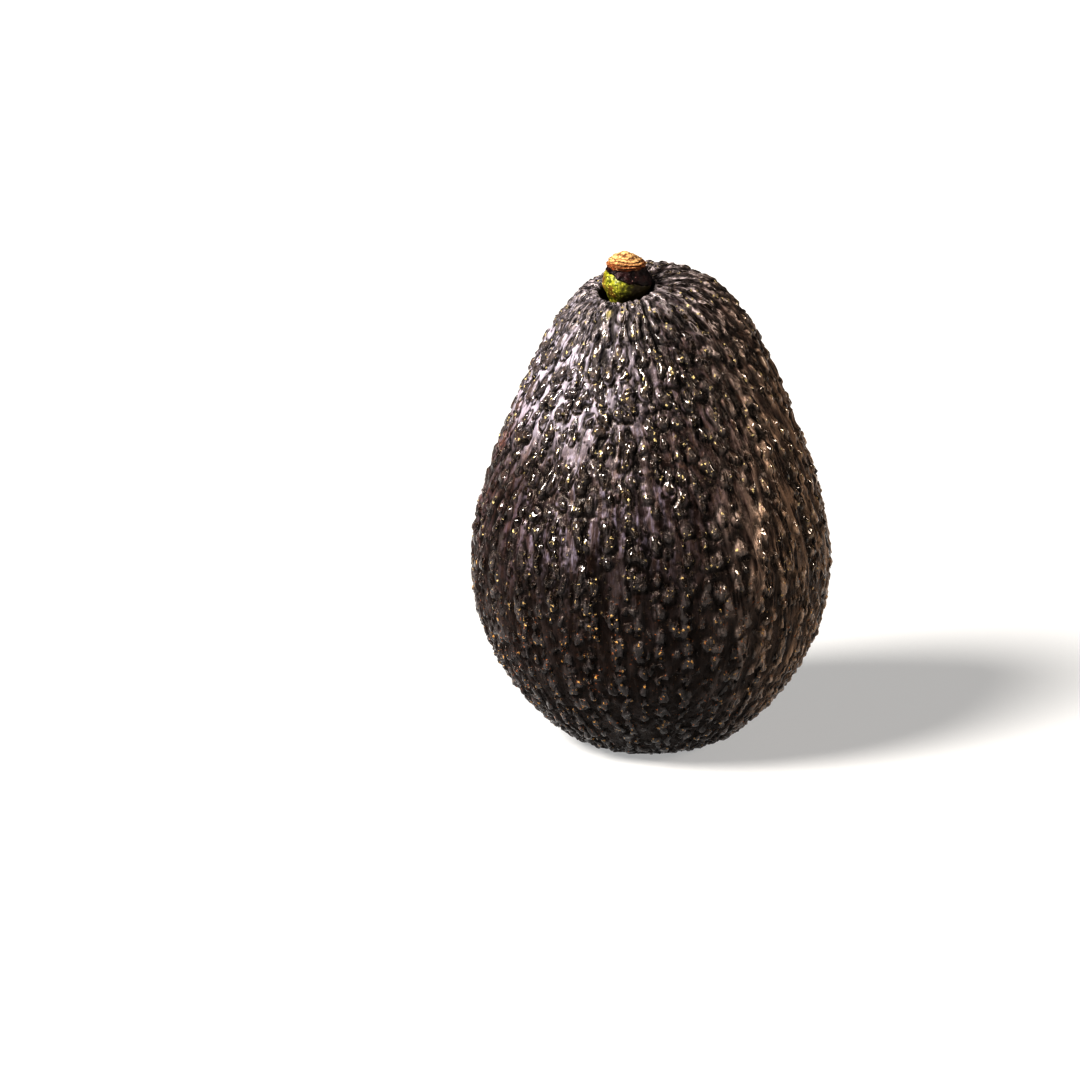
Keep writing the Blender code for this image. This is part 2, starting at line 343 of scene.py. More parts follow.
def skinRelief(directions, polar, bearing, flat, away):
    # the skin's height over the smooth form in millimetres, and the values that its material reads;
    # what is added to a place before a noise is only there to make the noises differ
    dice = np.random.default_rng(skin["seed"])
    flatMm = flat / mm
    warp = np.zeros_like(flat)
    for size, strength, shifts in skin["warps"]:
        warp += np.stack([noiseAt(flatMm / size + shift) for shift in shifts], axis=1) * strength
    bigRelief, bigShare, moat = wartRelief(skin["big"], directions, flat, warp, dice)
    middleRelief, middleShare, middleMoat = wartRelief(skin["middle"], directions, flat, warp, dice)
    smallRelief, smallShare, _ = wartRelief(skin["small"], directions, flat, warp, dice)
    print("warts laid out")
    flow = streamPoints(polar, bearing, skin["streamFineness"], skin["streamLength"])
    stream = noiseAt(flow)
    fineStream = noiseAt(skin["fineStream"] * flow + 17.0)
    finestStream = noiseAt(skin["finestStream"] * flow + 29.0)
    lobes = noiseAt(flatMm / skin["lobeSize"] + 5.0)
    broad = noiseAt(flatMm / skin["broadSize"] + 23.0)
    strength = 1.0 + 0.35 * noiseAt(flatMm / skin["strengthSize"] + 51.0)
    pale = paleWart(flat)

    # behind the stub and to its right the skin lies in long folds, with few warts
    toBackRight = ((flat - stubPlace) / mm)[:, :2].sum(axis=1)
    folded = smoothStep((skin["foldReach"] - away) / skin["foldFade"])
    folded *= smoothStep((toBackRight + 2.0) / 12.0)
    nearStem = smoothStep((skin["wrinkleReach"] - away) / skin["wrinkleFade"])
    nearStem = np.maximum(nearStem, skin["foldWrinkles"] * folded)
    lower = smoothStep((polar - skin["lowerFrom"]) / skin["lowerOver"])

    # the warts and their moats
    middleWeight = 0.40 + 0.20 * smoothStep((polar - 1.2) / 0.6) + 0.40 * lower
    middleWeight *= 1.0 - 0.4 * nearStem
    relief = bigRelief * strength * (1.0 + 0.5 * lobes) * (1.0 - 0.42 * lower) * (1.0 - 0.40 * nearStem)
    relief *= 1.0 - 0.45 * folded
    paleRelief = skin["paleWart"]["height"] * pale
    relief = np.sqrt(relief**2 + (middleRelief * middleWeight) ** 2 + paleRelief**2)
    relief += smallRelief * (0.25 + 0.9 * bigShare + 0.6 * lower) * (1.0 - 0.5 * nearStem)
    moat = np.maximum(moat, middleMoat * middleWeight * (1.0 - bigShare))
    relief -= skin["moatDepth"] * moat * (1.0 - 0.4 * nearStem)

    # the long ridges, the wrinkles near the stem and the broad swellings
    relief += skin["streamHeight"] * (1.0 - np.abs(stream) * 2.4) * (1.0 - nearStem) * (1.0 - 0.4 * lower)
    fineCrests, finestCrests = (0.45 - 2.6 * np.abs(noises) for noises in (fineStream, finestStream))
    ridges = 0.8 * stream + 0.55 * fineCrests + 0.25 * finestCrests
    relief += skin["wrinkleHeight"] * ridges * nearStem
    relief += (0.14 * fineStream + 0.07 * finestStream) * (1.0 - 0.5 * nearStem)
    relief += skin["broadHeight"] * broad
    relief += 0.05 + 0.25 * nearStem
    limit = skin["softLimit"]
    relief = np.where(relief > limit, limit + skin["pastLimit"] * (relief - limit), relief)

    wart = np.maximum(bigShare, middleShare * middleWeight) * 0.85 + smallShare * 0.3
    wart = np.clip(wart, 0.0, 1.0) * (1.0 - 0.3 * nearStem)
    moat = np.clip(moat * 1.6, 0.0, 1.0)
    layers = {"wart": wart, "nearStem": nearStem, "lower": lower, "moat": moat, "paleWart": pale}
    return relief, layers, flow


def fruitPiece():
    piece = ballPiece()
    mesh = piece.data
    directions = unit(readPoints(mesh))
    polar = np.arccos(np.clip(directions[:, 2], -1.0, 1.0))
    bearing = np.arctan2(directions[:, 1], directions[:, 0])
    flat = formPoints(polar, bearing)
    away = offAxis(flat) / mm
    print("ball:", len(flat), "points")
    base, outwards, socketRadius, socketDrop = socketForm(polar, bearing, away)
    relief, layers, flow = skinRelief(directions, polar, bearing, flat, away)

    # the relief fades out at the foot and in the socket
    relief *= smoothStep((base[:, 2] / mm + 0.6) / skin["footFade"])
    relief *= smoothStep((socketRadius - 5.0) / 0.8)
    relief = np.clip(relief, skin["lowest"], skin["highest"])
    points = base + outwards * (relief * mm)[:, None]
    points[:, 2] = np.maximum(points[:, 2], 0.0)
    writePoints(mesh, points)

    near = spreadOut(mesh, relief, skin["nearRounds"])
    wide = spreadOut(mesh, near, skin["wideRounds"])
    ridgeGain = skin["ridgeGain"] * (1.0 + layers["nearStem"])
    layers["ridge"] = np.clip(0.5 + (near - wide) * ridgeGain, 0.0, 1.0)
    layers["fineRidge"] = np.clip(0.5 + (relief - near) * skin["fineRidgeGain"], 0.0, 1.0)
    layers["socket"] = np.clip(socketDrop * 2.0, 0.0, 1.0)
    for name, values in layers.items():
        keepValue(mesh, name, values)
    layer = mesh.attributes.new("flow", "FLOAT_VECTOR", "POINT")
    layer.data.foreach_set("vector", flow.astype(np.float32).reshape(-1))
    bpy.ops.object.shade_smooth()
    return piece


# Node helpers for the materials.
def feed(tree, value, socket):
    # links an output to the socket, or sets the socket's fixed value
    if hasattr(value, "is_output"):
        tree.links.new(value, socket)
    else:
        socket.default_value = value


def addNode(tree, kind, inputs=None, **settings):
    node = tree.nodes.new(kind)
    for name, value in settings.items():
        setattr(node, name, value)
    for name, value in (inputs or {}).items():
        feed(tree, value, node.inputs[name])
    return node


def mixColour(tree, mask, low, high):
    node = tree.nodes.new("ShaderNodeMix")
    node.data_type = "RGBA"
    feed(tree, mask, node.inputs["Factor"])
    for colour, socket in ((low, node.inputs[6]), (high, node.inputs[7])):
        feed(tree, (*colour, 1.0) if isinstance(colour, tuple) else colour, socket)
    return node.outputs[2]


def layered(tree, colour, layers):
    # each layer is (mask, colour), laid over the ones before
    for mask, over in layers:
        colour = mixColour(tree, mask, colour, over)
    return colour


def maths(tree, operation, one, other=None, clamp=False):
    node = tree.nodes.new("ShaderNodeMath")
    node.operation = operation
    node.use_clamp = clamp
    feed(tree, one, node.inputs[0])
    if other is not None:
        feed(tree, other, node.inputs[1])
    return node.outputs[0]


def product(tree, value, *others):
    for other in others:
        value = maths(tree, "MULTIPLY", value, other)
    return value


def total(tree, value, *others):
    for other in others:
        value = maths(tree, "ADD", value, other)
    return value


def ramp(tree, value, low, high, fromLow=0.0, fromHigh=1.0):
    # goes smoothly from low to high as the value goes from fromLow to fromHigh
    inputs = {"Value": value, "From Min": fromLow, "From Max": fromHigh, "To Min": low, "To Max": high}
    return addNode(tree, "ShaderNodeMapRange", inputs, interpolation_type="SMOOTHSTEP").outputs["Result"]


def attribute(tree, name, output="Fac"):
    return addNode(tree, "ShaderNodeAttribute", attribute_name=name).outputs[output]


def noiseMap(tree, place, scale, detail=3.0, distortion=0.0):
    inputs = {"Vector": place, "Scale": scale, "Detail": detail, "Distortion": distortion}
    return addNode(tree, "ShaderNodeTexNoise", inputs).outputs["Fac"]


def threadMap(tree, place, scale, width):
    # thin winding lines drawn out along the flow: 1 on a line
    middle = maths(tree, "SUBTRACT", noiseMap(tree, place, scale, 2.0, 0.7), 0.5)
    return ramp(tree, maths(tree, "ABSOLUTE", middle), 1.0, 0.0, 0.0, width)


def wobbled(tree, place, scale, amount):
    # the place moved about by a noise, which makes round things uneven
    noiseNode = addNode(tree, "ShaderNodeTexNoise", {"Vector": place, "Scale": scale, "Detail": 2.0})
    shift = addNode(tree, "ShaderNodeVectorMath", operation="MULTIPLY_ADD")
    feed(tree, noiseNode.outputs["Color"], shift.inputs[0])
    feed(tree, (amount, amount, amount), shift.inputs[1])
    feed(tree, place, shift.inputs[2])
    return shift.outputs["Vector"]


def addBump(tree, shader, height, strength, distance):
    # the distance is in millimetres
    inputs = {"Height": height, "Strength": strength, "Distance": distance * mm}
    bump = addNode(tree, "ShaderNodeBump", inputs)
    tree.links.new(bump.outputs["Normal"], shader.inputs["Normal"])


def newMaterial(name):
    material = bpy.data.materials.new(name)
    material.use_nodes = True
    tree = material.node_tree
    shader = tree.nodes["Principled BSDF"]
    place = addNode(tree, "ShaderNodeTexCoord").outputs["Object"]
    return material, tree, shader, place


def makeGroup(name, inputs, outputs):
    group = bpy.data.node_groups.new(name, "ShaderNodeTree")
    for label, kind, value in inputs:
        socket = group.interface.new_socket(name=label, in_out="INPUT", socket_type=kind)
        if value is not None:
            socket.default_value = value
    for label, kind in outputs:
        group.interface.new_socket(name=label, in_out="OUTPUT", socket_type=kind)
    return group, group.nodes.new("NodeGroupInput"), group.nodes.new("NodeGroupOutput")


def specksGroup():
    # round specks, some of them missing: Mask is 1 on a speck
    inputs = [("Place", "NodeSocketVector", None), ("Scale", "NodeSocketFloat", 900.0)]
    inputs += [("Size", "NodeSocketFloat", 0.3), ("Kept", "NodeSocketFloat", 0.4)]
    group, given, out = makeGroup("specks", inputs, [("Mask", "NodeSocketFloat")])
    where = {"Vector": given.outputs["Place"], "Scale": given.outputs["Scale"]}
    cells = addNode(group, "ShaderNodeTexVoronoi", where)
    edge = maths(group, "SUBTRACT", given.outputs["Size"], cells.outputs["Distance"])
    disc = ramp(group, edge, 0.0, 1.0, 0.0, 0.12)
    chance = addNode(group, "ShaderNodeSeparateColor", {"Color": cells.outputs["Color"]}).outputs[0]
    kept = maths(group, "LESS_THAN", chance, given.outputs["Kept"])
    group.links.new(product(group, disc, kept), out.inputs["Mask"])
    return group


def grainGroup():
    # fine grain at two sizes: Height is about 0 to 1
    inputs = [("Place", "NodeSocketVector", None), ("Scale", "NodeSocketFloat", 1500.0)]
    group, given, out = makeGroup("grain", inputs, [("Height", "NodeSocketFloat")])
    where = {"Vector": given.outputs["Place"], "Scale": given.outputs["Scale"]}
    fine = addNode(group, "ShaderNodeTexNoise", {**where, "Detail": 4.0, "Roughness": 0.6}).outputs["Fac"]
    where = {"Vector": given.outputs["Place"], "Scale": product(group, given.outputs["Scale"], 0.3)}
    lumps = addNode(group, "ShaderNodeTexNoise", where).outputs["Fac"]
    both = total(group, product(group, fine, 0.45), product(group, lumps, 0.55))
    group.links.new(both, out.inputs["Height"])
    return group


specks = specksGroup()
grain = grainGroup()


def useGroup(tree, group, place, **values):
    node = tree.nodes.new("ShaderNodeGroup")
    node.node_tree = group
    tree.links.new(place, node.inputs["Place"])
    for name, value in values.items():
        node.inputs[name].default_value = value
    return node.outputs[0]


# The skin's material. A noise's scale is in waves per metre, or along the flow for streaks and threads.
skinScales = {
    "patches": 75.0,
    "blotches": 420.0,
    "lumps": 1100.0,
    "grain": 3200.0,
    "wobble": 2300.0,
    "lenticels": 950.0,
    "tinySpecks": 1350.0,
    "pebbles": 780.0,
    "streaks": 2.6,
    "fineStreaks": 7.0,
    "threads": 1.1,
    "fineThreads": 2.3,
}
skinColours = {
    "bare": ((0.022, 0.011, 0.007), (0.075, 0.042, 0.026)),
    "onTop": ((0.007, 0.0045, 0.0025), (0.030, 0.019, 0.009)),
    "bloom": ((0.070, 0.058, 0.072), (0.260, 0.235, 0.290)),
    "waxyBloom": (0.44, 0.415, 0.465),
    "tan": ((0.090, 0.050, 0.030), (0.19, 0.128, 0.084)),
    "red": (0.16, 0.060, 0.045),
    "valley": (0.0022, 0.0015, 0.0012),
    "fineValley": (0.0040, 0.0026, 0.0020),
    "crack": (0.0030, 0.0018, 0.0014),
    "lower": (0.013, 0.0048, 0.0024),
    "below": (0.007, 0.0028, 0.0015),
    "furrow": (0.013, 0.0065, 0.0045),
    "thread": ((0.46, 0.42, 0.43), (0.46, 0.34, 0.25)),
    "lenticel": ((0.56, 0.48, 0.28), (0.46, 0.28, 0.10)),
    "redSpeck": (0.34, 0.13, 0.045),
    "paleWart": (0.40, 0.36, 0.19),
    "socket": (0.008, 0.005, 0.004),
}
skinGloss = {
    "specularTint": (1.0, 0.87, 0.78, 1.0),
    "specularLevel": 0.24,
    "coatRoughness": 0.06,
    "coatIor": 1.46,
    "bumpStrength": 0.9,
    "bumpDistance": 0.45,
}


def skinMasks(tree, place):
    # what the colour, the shine and the bump of the skin share
    kept = ("wart", "ridge", "fineRidge", "nearStem", "socket", "lower", "moat", "paleWart")
    masks = SimpleNamespace(**{name: attribute(tree, name) for name in kept})
    scales = SimpleNamespace(**skinScales)
    flow = attribute(tree, "flow", "Vector")
    masks.patches = noiseMap(tree, place, scales.patches)
    masks.blotches = noiseMap(tree, place, scales.blotches)
    masks.streaks = noiseMap(tree, flow, scales.streaks, 4.0, 0.8)
    masks.fineStreaks = noiseMap(tree, flow, scales.fineStreaks, 3.0, 1.2)
    masks.lumps = noiseMap(tree, place, scales.lumps, 2.0, 0.6)
    masks.threads = threadMap(tree, flow, scales.threads, 0.10)
    masks.fineThreads = threadMap(tree, flow, scales.fineThreads, 0.12)
    masks.grain = useGroup(tree, grain, place, Scale=scales.grain)
    unevenPlace = wobbled(tree, place, scales.wobble, 0.0011)
    masks.lenticels = useGroup(tree, specks, unevenPlace, Scale=scales.lenticels, Size=0.33, Kept=0.45)
    masks.tinySpecks = useGroup(tree, specks, unevenPlace, Scale=scales.tinySpecks, Size=0.31, Kept=0.30)
    cells = addNode(tree, "ShaderNodeTexVoronoi", {"Vector": unevenPlace, "Scale": scales.pebbles})
    masks.pebbles = cells.outputs["Distance"]

    # the upper left, where the key light falls, gets painted sheen; the right is tan and threaded, with
    # painted rim light on its ridges and painted shade between them; and the lower part is darker, partly
    # painted shade
    split = addNode(tree, "ShaderNodeSeparateXYZ", {"Vector": place})
    masks.side = split.outputs["X"]
    upper = ramp(tree, split.outputs["Z"], 0.0, 1.0, 0.052, 0.078)
    masks.below = ramp(tree, split.outputs["Z"], 1.0, 0.0, 0.038, 0.066)
    # the upper left, where the key light falls: the colours laid by this mask are painted sheen
    masks.waxy = product(tree, upper, ramp(tree, masks.side, 1.0, 0.0, -0.020, 0.012))
    masks.toRight = ramp(tree, masks.side, 0.0, 1.0, 0.002, 0.028)
    onWart = ramp(tree, masks.wart, 0.0, 1.0, 0.28, 0.60)
    # the wart tops are dark, but painted lighter on the upper left where the key light falls
    masks.dark = product(tree, onWart, ramp(tree, masks.waxy, 1.0, 0.62))

    # a waxy bloom lies in the hollows between the warts, with painted sheen: it is laid thickest on the upper
    # left, where the key light falls, and thins towards the right and the bottom
    hollow = ramp(tree, masks.dark, 1.0, 0.0, 0.0, 0.8)
    hollow = product(tree, hollow, ramp(tree, masks.moat, 1.0, 0.0, 0.1, 0.5))
    bloom = product(
        tree,
        hollow,
        ramp(tree, masks.lower, 1.0, 0.10),
        ramp(tree, masks.side, 1.0, 0.12, -0.010, 0.020),
        ramp(tree, masks.streaks, 0.25, 1.0, 0.38, 0.56),
        ramp(tree, masks.fineStreaks, 0.45, 1.0, 0.38, 0.58),
        ramp(tree, masks.blotches, 0.15, 1.0, 0.40, 0.58),
    )
    masks.bloom = maths(tree, "MAXIMUM", bloom, product(tree, hollow, ramp(tree, masks.waxy, 0.0, 0.9)))

    # pale threads run over the ridges near the stem and on the right, partly painted highlight on their
    # crests and painted rim light on the right
    lines = maths(tree, "MAXIMUM", masks.threads, product(tree, masks.fineThreads, 0.8))
    reach = maths(tree, "MAXIMUM", ramp(tree, masks.nearStem, 0.12, 0.9), product(tree, masks.toRight, 0.8))
    masks.lightThreads = product(tree, lines, reach, ramp(tree, masks.ridge, 0.15, 1.0, 0.35, 0.65))
    return masks


def skinColour(tree, masks):
    colours = SimpleNamespace(**skinColours)
    bare = mixColour(tree, ramp(tree, masks.blotches, 0.0, 1.0, 0.35, 0.7), *colours.bare)
    onTop = mixColour(tree, ramp(tree, masks.blotches, 0.0, 1.0, 0.40, 0.7), *colours.onTop)
    bloom = mixColour(tree, ramp(tree, masks.patches, 0.0, 1.0, 0.35, 0.65), *colours.bloom)
    # on the upper left, where the key light falls, the bloom turns to a pale painted sheen
    bloom = mixColour(tree, product(tree, masks.waxy, 0.9), bloom, colours.waxyBloom)
    # tan on the ridges towards the right: the skin's own tan, with painted rim light from the right
    tan = mixColour(tree, ramp(tree, masks.patches, 0.0, 1.0, 0.4, 0.6), *colours.tan)
    tanPlace = product(
        tree,
        ramp(tree, masks.ridge, 0.0, 0.9, 0.42, 0.75),
        ramp(tree, masks.fineStreaks, 0.1, 1.0, 0.4, 0.6),
        ramp(tree, masks.toRight, 0.16, 1.0),
    )
    redPlace = product(
        tree,
        ramp(tree, masks.side, 0.7, 0.0, -0.034, -0.022),
        ramp(tree, masks.blotches, 0.0, 1.0, 0.40, 0.6),
        ramp(tree, masks.patches, 0.25, 1.0, 0.42, 0.60),
    )
    # painted shade in the creases between the pebbles on the warts
    creaseOnWart = ramp(tree, masks.wart, 0.15, 1.0, 0.2, 0.6)
    crease = product(tree, ramp(tree, masks.pebbles, 0.0, 1.0, 0.40, 0.72), creaseOnWart)
    # painted shade over the lower part, less on the right
    belowPlace = product(tree, masks.below, ramp(tree, masks.side, 0.50, 0.0, 0.014, 0.030))
    # painted shade on the right, between the pale threads
    lines = maths(tree, "MAXIMUM", masks.threads, product(tree, masks.fineThreads, 0.7))
    furrows = product(tree, ramp(tree, lines, 1.0, 0.0, 0.0, 0.6), product(tree, masks.toRight, 0.6))
    # cream specks on the wart tops: lenticels, with painted glints
    onWarts = product(tree, masks.lenticels, ramp(tree, masks.wart, 0.05, 1.0, 0.25, 0.6), 0.9)
    redSpecks = product(
        tree,
        masks.tinySpecks,
        ramp(tree, masks.lower, 0.0, 0.9),
        ramp(tree, masks.ridge, 0.1, 1.0, 0.4, 0.6),
    )
    layers = (
        # the dark wart tops, painted lighter on the lit upper left
        (masks.dark, onTop),
        # the bloom in the hollows, with painted sheen where the light falls
        (masks.bloom, bloom),
        # tan ridges on the right, partly painted rim light
        (tanPlace, tan),
        (redPlace, colours.red),
        # painted shade in the hollows between the ridges, and in the finer hollows
        (ramp(tree, masks.ridge, 0.92, 0.0, 0.14, 0.45), colours.valley),
        (ramp(tree, masks.fineRidge, 0.8, 0.0, 0.15, 0.48), colours.fineValley),
        # painted shadow in the moats round the warts, darkest on the side away from the stem
        (product(tree, masks.moat, 0.92), colours.crack),
        # the lower part darker and redder: its own colour, with painted shade
        (product(tree, masks.lower, 0.68), colours.lower),
        (product(tree, crease, 0.45), colours.crack),
        (belowPlace, colours.below),
        (furrows, colours.furrow),
        # pale threads on the ridges, partly painted highlight and rim light
        (masks.lightThreads, mixColour(tree, masks.toRight, *colours.thread)),
        (onWarts, mixColour(tree, masks.lower, *colours.lenticel)),
        (redSpecks, colours.redSpeck),
        (masks.paleWart, colours.paleWart),
        # painted shade in the socket round the stub
        (product(tree, masks.socket, 0.9), colours.socket),
    )
    return layered(tree, bare, layers)


def skinMaterial():
    material, tree, shader, place = newMaterial("pebbledSkin")
    masks = skinMasks(tree, place)
    tree.links.new(skinColour(tree, masks), shader.inputs["Base Color"])

    # the warts are glossy and the bloom is dull
    rough = total(
        tree,
        ramp(tree, masks.wart, 0.26, 0.16, 0.2, 0.7),
        ramp(tree, masks.blotches, -0.05, 0.10, 0.3, 0.7),
        product(tree, masks.bloom, 0.10),
        product(tree, masks.nearStem, 0.08),
        product(tree, masks.lower, -0.05),
    )
    rough = maths(tree, "ADD", rough, product(tree, masks.socket, 0.3), clamp=True)
    tree.links.new(rough, shader.inputs["Roughness"])
    coat = product(
        tree,
        ramp(tree, masks.wart, 0.06, 1.0, 0.2, 0.7),
        ramp(tree, masks.moat, 1.0, 0.0, 0.1, 0.6),
        ramp(tree, masks.nearStem, 1.0, 0.35, 0.0, 0.8),
    )
    tree.links.new(coat, shader.inputs["Coat Weight"])
    shader.inputs["Specular Tint"].default_value = skinGloss["specularTint"]
    shader.inputs["Coat Roughness"].default_value = skinGloss["coatRoughness"]
    shader.inputs["Coat IOR"].default_value = skinGloss["coatIor"]
    shader.inputs["Specular IOR Level"].default_value = skinGloss["specularLevel"]

    # the warts are lumpy and the hollows are smooth
    domes = total(tree, product(tree, masks.lumps, 0.9), ramp(tree, masks.pebbles, 0.35, 0.0, 0.0, 0.75))
    domes = product(tree, domes, ramp(tree, masks.wart, 0.12, 1.0, 0.2, 0.6))
    lumpy = product(tree, domes, ramp(tree, masks.below, 1.0, 1.7))
    height = total(
        tree,
        product(tree, masks.grain, 0.12),
        lumpy,
        product(tree, masks.fineStreaks, 0.45),
        product(tree, masks.lightThreads, 1.3),
        product(tree, masks.lenticels, 0.2),
    )
    addBump(tree, shader, height, skinGloss["bumpStrength"], skinGloss["bumpDistance"])
    return material


# The stub of the stalk, in millimetres. Its profile is (radius, height above the socket's floor).
stub = {
    "sides": 128,
    "profile": (
        (3.0, 0.35),
        (3.3, 1.6),
        (3.75, 2.8),
        (4.35, 4.1),
        (4.68, 4.9),
        (4.82, 5.6),
        (4.78, 6.2),
        (4.50, 7.0),
        (4.22, 7.6),
        (4.02, 7.85),
        (3.85, 8.3),
        (3.55, 8.8),
        (3.72, 9.15),
        (3.68, 9.55),
        (3.45, 9.75),
        (3.35, 10.05),
        (2.95, 10.25),
        (2.80, 10.50),
        (2.30, 10.7),
        (2.0, 10.95),
        (1.45, 11.2),
        (0.95, 11.45),
        (0.5, 11.60),
        (0.05, 11.66),
    ),
    "footRows": 44,
    "footBottom": 0.35,
    "footTuck": 0.22,
    "capRows": 64,
    "capStart": 6.6,
    "capStretch": 2.6,
    "corkStart": 8.9,
    "corkFade": 0.4,
    "seamHeight": 6.9,
    "seamSlope": 0.30,
    "seamRadius": 4.6,
    "skirtStep": 0.16,
    "ringSpacing": 0.55,
    "ringHeight": 0.15,
    "tuck": 0.5,
}


def stubMatrix():
    socketFloor = Vector(stubPlace) - Vector(stubAxis) * (form["dimpleDepth"] + form["socketDepth"])
    return Matrix.Translation(socketFloor) @ Vector(stubAxis).to_track_quat("Z", "Y").to_matrix().to_4x4()


def uneven(bearing, height):
    # the stub isn't quite round
    share = 1.0 + 0.025 * np.sin(3.0 * bearing + 0.3 * height)
    return share + 0.015 * np.sin(7.0 * bearing - 0.9 * height)


def seamAt(bearing):
    # the height of the ragged, slanted seam between the green foot and the dry end
    ragged = 0.16 * np.sin(5.0 * bearing + 0.6) + 0.10 * np.sin(11.0 * bearing + 2.0)
    ragged += 0.06 * np.sin(23.0 * bearing)
    return stub["seamHeight"] - stub["seamSlope"] * stub["seamRadius"] * np.cos(bearing) + ragged


def ringedPiece(name, rows):
    # a closed piece of rings, extruded one by one from a filled circle
    bpy.ops.object.select_all(action="DESELECT")
    bpy.ops.mesh.primitive_circle_add(vertices=stub["sides"], radius=1.0, fill_type="NGON")
    piece = bpy.context.object
    piece.name = name
    bpy.ops.object.mode_set(mode="EDIT")
    bpy.ops.mesh.select_all(action="SELECT")
    for _ in range(rows - 1):
        bpy.ops.mesh.extrude_region_move(TRANSFORM_OT_translate={"value": (0.0, 0.0, 1.0)})
    bpy.ops.object.mode_set(mode="OBJECT")
    points = readPoints(piece.data)
    row = np.rint(points[:, 2]).astype(int)
    bearing = np.arctan2(points[:, 1], points[:, 0])
    return piece, row, bearing


def finishStubPiece(piece, points, height):
    matrix = np.array(stubMatrix())
    writePoints(piece.data, points * mm @ matrix[:3, :3].T + matrix[:3, 3])
    keepValue(piece.data, "height", height)
    bpy.ops.object.mode_set(mode="EDIT")
    bpy.ops.mesh.select_all(action="SELECT")
    bpy.ops.mesh.normals_make_consistent(inside=False)
    bpy.ops.object.mode_set(mode="OBJECT")
    bpy.ops.object.shade_smooth()
    return piece


def stubRadius(height, bearing):
    table = np.array(stub["profile"])
    return np.interp(height, table[:, 1], table[:, 0]) * uneven(bearing, height)


def onRings(radius, bearing, height):
    return np.stack([radius * np.cos(bearing), radius * np.sin(bearing), height], axis=1)


def basePiece():
    piece, row, bearing = ringedPiece("stalkFoot", stub["footRows"])
    seam = seamAt(bearing)
    top = seam + stub["tuck"]
    height = stub["footBottom"] + (top - stub["footBottom"]) * row / (stub["footRows"] - 1)
    radius = stubRadius(height, bearing)
    where = onRings(radius, bearing, height)
    lumps = 0.16 * noiseAt(where) + 0.09 * noiseAt(where / 0.42 + 9.0)
    tucked = smoothStep((height - (top - stub["tuck"] - 0.15)) / 0.3)
    radius = radius + lumps - stub["footTuck"] * tucked
    return finishStubPiece(piece, onRings(radius, bearing, height), height)


def capPiece():
    piece, row, bearing = ringedPiece("stalkEnd", stub["capRows"])
    seam = seamAt(bearing)
    table = np.array(stub["profile"])
    # the rows are shared out along the profile's length, so the dome is as fine as the sides
    start = stub["capStart"]
    fine = np.linspace(start, table[-1, 1], 400)
    fineRadius = np.interp(fine, table[:, 1], table[:, 0])
    length = np.concatenate([[0.0], np.cumsum(np.hypot(np.diff(fine), np.diff(fineRadius)))])
    share = row / (stub["capRows"] - 1)
    height = np.interp(share * length[-1], length, fine)
    height = height + (seam - start) * (1.0 - smoothStep((height - start) / stub["capStretch"]))
    radius = stubRadius(height, bearing)
    where = onRings(radius, bearing, height)

    # the cork is rough and ringed, and its lower edge stands out a little over the green foot
    corky = smoothStep((height - stub["corkStart"]) / stub["corkFade"])
    rough = (0.22 - 0.07 * corky) * noiseAt(where / 0.9 + 3.0)
    rough += (0.11 + 0.03 * corky) * noiseAt(where / 0.38 + 7.0)
    turn = height * 2.0 * math.pi / stub["ringSpacing"] + 0.9 * np.sin(bearing)
    rings = stub["ringHeight"] * np.sin(turn) * corky
    skirt = stub["skirtStep"] * (1.0 - smoothStep((height - seam - 0.5) / 1.2))
    tuckedIn = np.where(row == 0, 0.35, np.where(row == 1, 0.06, 0.0))
    wide = smoothStep(radius / 1.5)
    side = radius * np.cos(bearing)
    behind = radius * np.sin(bearing)
    radius = np.maximum(radius + (rough + rings) * wide + skirt - tuckedIn, 0.02)

    # the end slopes down to the right, is a little ragged, and has a small nub at the back
    slope = smoothStep((height - 9.3) / 1.6)
    nub = np.exp(-(((side + 0.2) / 0.7) ** 2) - ((behind - 1.4) / 0.8) ** 2)
    height = height + 0.10 * noiseAt(where / 0.9 + 21.0) * corky
    height = height - 0.12 * slope * side + 0.15 * nub * slope
    return finishStubPiece(piece, onRings(radius, bearing, height), height)


footColours = {
    "green": ((0.085, 0.092, 0.008), (0.25, 0.25, 0.026)),
    "brown": (0.14, 0.075, 0.014),
    "yellowSpeck": (0.58, 0.55, 0.17),
    "dull": (0.040, 0.029, 0.008),
    "leftEdge": (0.22, 0.10, 0.02),
}


def footMaterial():
    material, tree, shader, place = newMaterial("greenStalk")
    patches = noiseMap(tree, place, 420.0, 4.0)
    mottle = noiseMap(tree, place, 1700.0)
    yellowSpecks = useGroup(tree, specks, place, Scale=1800.0, Size=0.36, Kept=0.5)
    split = addNode(tree, "ShaderNodeSeparateXYZ", {"Vector": place})
    side = total(tree, split.outputs["X"], ramp(tree, patches, -0.001, 0.001, 0.3, 0.7))
    green = mixColour(tree, ramp(tree, mottle, 0.0, 1.0, 0.38, 0.62), *footColours["green"])
    layers = (
        (ramp(tree, patches, 0.0, 0.9, 0.50, 0.64), footColours["brown"]),
        (product(tree, yellowSpecks, 0.7), footColours["yellowSpeck"]),
        # painted shade on the right of the green foot, away from the key light
        (ramp(tree, side, 0.0, 0.95, -0.0082, -0.0028), footColours["dull"]),
        (ramp(tree, side, 0.75, 0.0, -0.0110, -0.0095), footColours["leftEdge"]),
    )
    tree.links.new(layered(tree, green, layers), shader.inputs["Base Color"])
    tree.links.new(ramp(tree, mottle, 0.35, 0.6, 0.3, 0.7), shader.inputs["Roughness"])
    addBump(tree, shader, useGroup(tree, grain, place, Scale=2600.0), 0.6, 0.25)
    return material


